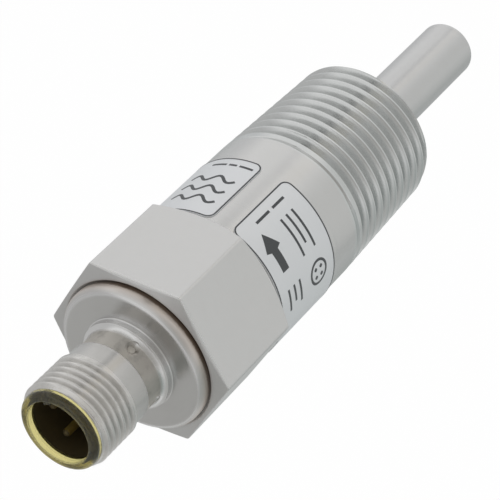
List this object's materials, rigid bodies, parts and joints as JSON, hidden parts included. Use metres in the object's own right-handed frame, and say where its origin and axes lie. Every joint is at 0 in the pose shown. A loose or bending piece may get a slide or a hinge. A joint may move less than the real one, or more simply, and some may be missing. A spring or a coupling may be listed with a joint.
{
  "type": "thermal flow switch",
  "caption": "Thermal flow switch: steel hexagon body with a taper pipe thread and a plain probe at one end, and a round threaded plug connector at the other.",
  "frame": {"origin": "on the axis at the upper, large end of the taper pipe thread", "axes": "+Z along the axis from the probe to the connector, +X through a corner of the hexagon"},
  "size_m": [0.0252, 0.0222, 0.0907],
  "materials": {
    "turned_steel": "satin turned stainless steel",
    "probe_steel": "fine blasted stainless steel",
    "amber_plastic": "clear amber moulded plastic",
    "contact_gold": "gold plated",
    "window_plastic": "clear moulded plastic",
    "label_film": "satin silver-white film",
    "seal_rubber": "matt",
    "board_laminate": "solder mask",
    "led_plastic": "diffuse",
    "chip_plastic": "moulded",
    "chip_ceramic": "fired ceramic",
    "insulation": "moulded",
    "strip_film": "polyimide",
    "copper": "bare",
    "filler_paste": "set paste",
    "potting_resin": "cast resin"
  },
  "bodies": {
    "root": {"housing": "turned_steel", "end_cap": "turned_steel", "connector_shell": "turned_steel", "probe_sheath": "probe_steel", "contact_carrier": "amber_plastic", "contact_pin_1": "contact_gold", "contact_pin_2": "contact_gold", "contact_pin_3": "contact_gold", "contact_pin_4": "contact_gold", "led_window_1": "window_plastic", "led_window_2": "window_plastic", "led_window_3": "window_plastic", "led_window_4": "window_plastic", "type_label": "label_film", "cap_seal": "seal_rubber", "carrier_seal": "seal_rubber", "contact_board": "board_laminate", "circuit_board": "board_laminate", "status_led_1": "led_plastic", "status_led_2": "led_plastic", "status_led_3": "led_plastic", "status_led_4": "led_plastic", "microcontroller": "chip_plastic", "output_driver": "chip_plastic", "voltage_regulator": "chip_plastic", "capacitor_1": "chip_ceramic", "capacitor_2": "chip_ceramic", "capacitor_3": "chip_ceramic", "heating_element": "chip_ceramic", "measuring_sensor": "chip_ceramic", "reference_sensor": "chip_ceramic", "insulating_sleeve": "insulation", "board_rail_left": "insulation", "board_rail_right": "insulation", "sensor_strip": "strip_film", "sensor_block": "copper", "thermal_filler": "filler_paste", "potting_plug": "potting_resin"}
  },
  "joints": []
}
